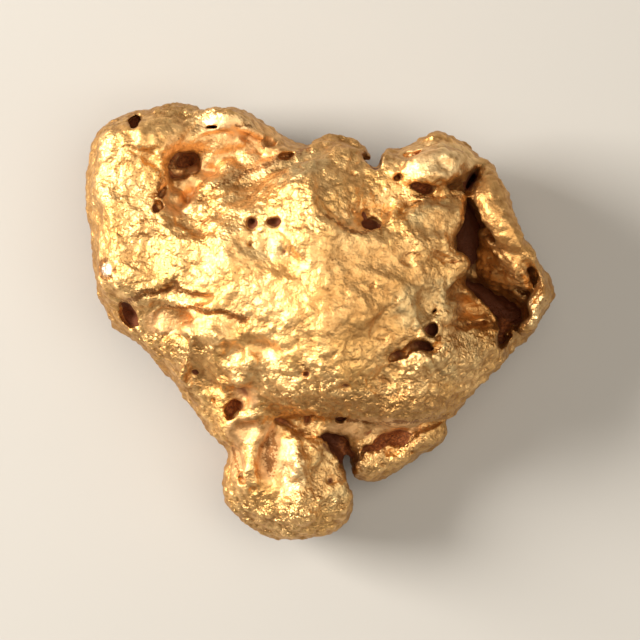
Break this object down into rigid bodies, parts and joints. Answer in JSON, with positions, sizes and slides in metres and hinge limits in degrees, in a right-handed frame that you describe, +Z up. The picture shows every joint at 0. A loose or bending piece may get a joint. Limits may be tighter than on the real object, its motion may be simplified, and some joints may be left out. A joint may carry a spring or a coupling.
{
  "type": "gold nugget",
  "caption": "Water-worn lump of native gold with rounded lobes, a smooth basin, folded flakes, a side arm and many pits.",
  "frame": {"origin": "centre of the bounding box, on the surface that the nugget rests on", "axes": "+X along the longest extent, from the wing to the arm; +Y from the foot to the basin; +Z up, out of the lobed side"},
  "size_m": [0.0236, 0.022, 0.0107],
  "materials": {
    "native_gold": "hammered, satin, red-brown in the pits"
  },
  "bodies": {
    "root": {"nugget": "native_gold"}
  },
  "joints": []
}
